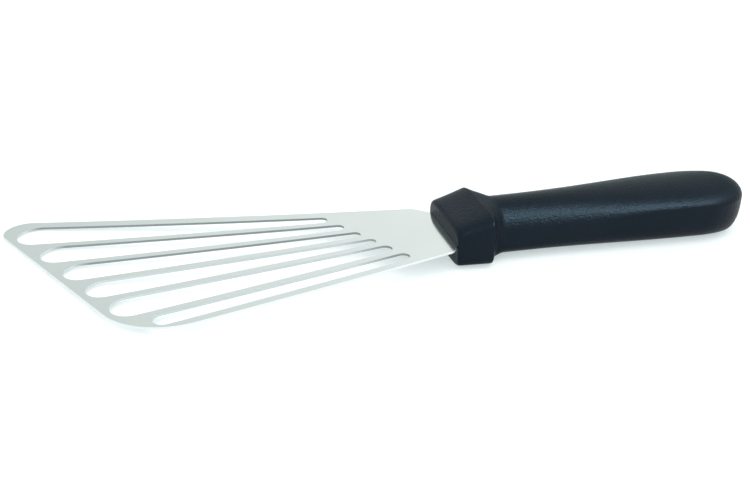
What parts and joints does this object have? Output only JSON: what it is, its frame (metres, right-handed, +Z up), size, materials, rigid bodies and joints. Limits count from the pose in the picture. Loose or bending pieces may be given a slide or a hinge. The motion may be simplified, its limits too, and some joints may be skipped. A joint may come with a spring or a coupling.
{
  "type": "fish spatula",
  "caption": "Slotted fish spatula: thin flared steel blade with fanned tapering slots, a slanted front edge and a moulded oval handle with a bolster, for turning fried fish.",
  "frame": {"origin": "on the table plane under the middle of the handle's bolster, on the tool's centre line", "axes": "+X from the blade towards the butt, +Y towards the blade's longer side, +Z up from the table"},
  "size_m": [0.2994, 0.1058, 0.0214],
  "materials": {
    "blade_steel": "satin rolled stainless steel sheet",
    "handle_plastic": "fine-grained matt black moulded plastic"
  },
  "bodies": {
    "root": {"blade": "blade_steel", "handle": "handle_plastic"}
  },
  "joints": []
}
